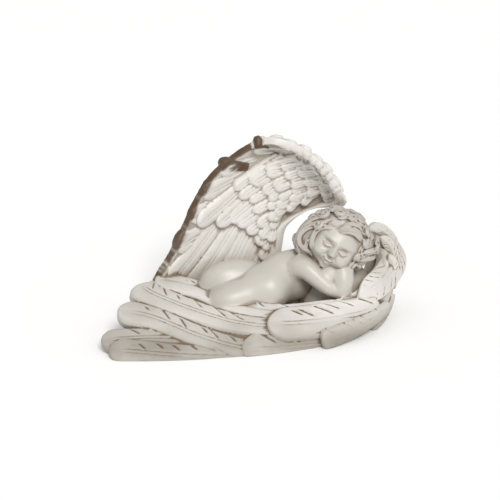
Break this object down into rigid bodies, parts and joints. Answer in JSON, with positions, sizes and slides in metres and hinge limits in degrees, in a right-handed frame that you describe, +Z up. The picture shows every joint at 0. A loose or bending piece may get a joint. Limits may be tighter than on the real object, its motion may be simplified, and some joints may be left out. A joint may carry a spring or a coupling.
{
  "type": "figurine",
  "caption": "Table figurine of a sleeping winged child, lying face down on one wing while the other stands behind it and curls forward over it; flat underside.",
  "frame": {"origin": "centre of the piece's footprint, on the flat underside", "axes": "+X from the lying wing's feather tips towards the head, +Y from the front towards the raised wing, +Z up"},
  "size_m": [0.2158, 0.0944, 0.1271],
  "materials": {
    "ivory_resin": "ivory white cast resin, satin on the skin and duller on the feathers, with a brown wash in the recesses"
  },
  "bodies": {
    "root": {"cupid_figurine": "ivory_resin"}
  },
  "joints": []
}
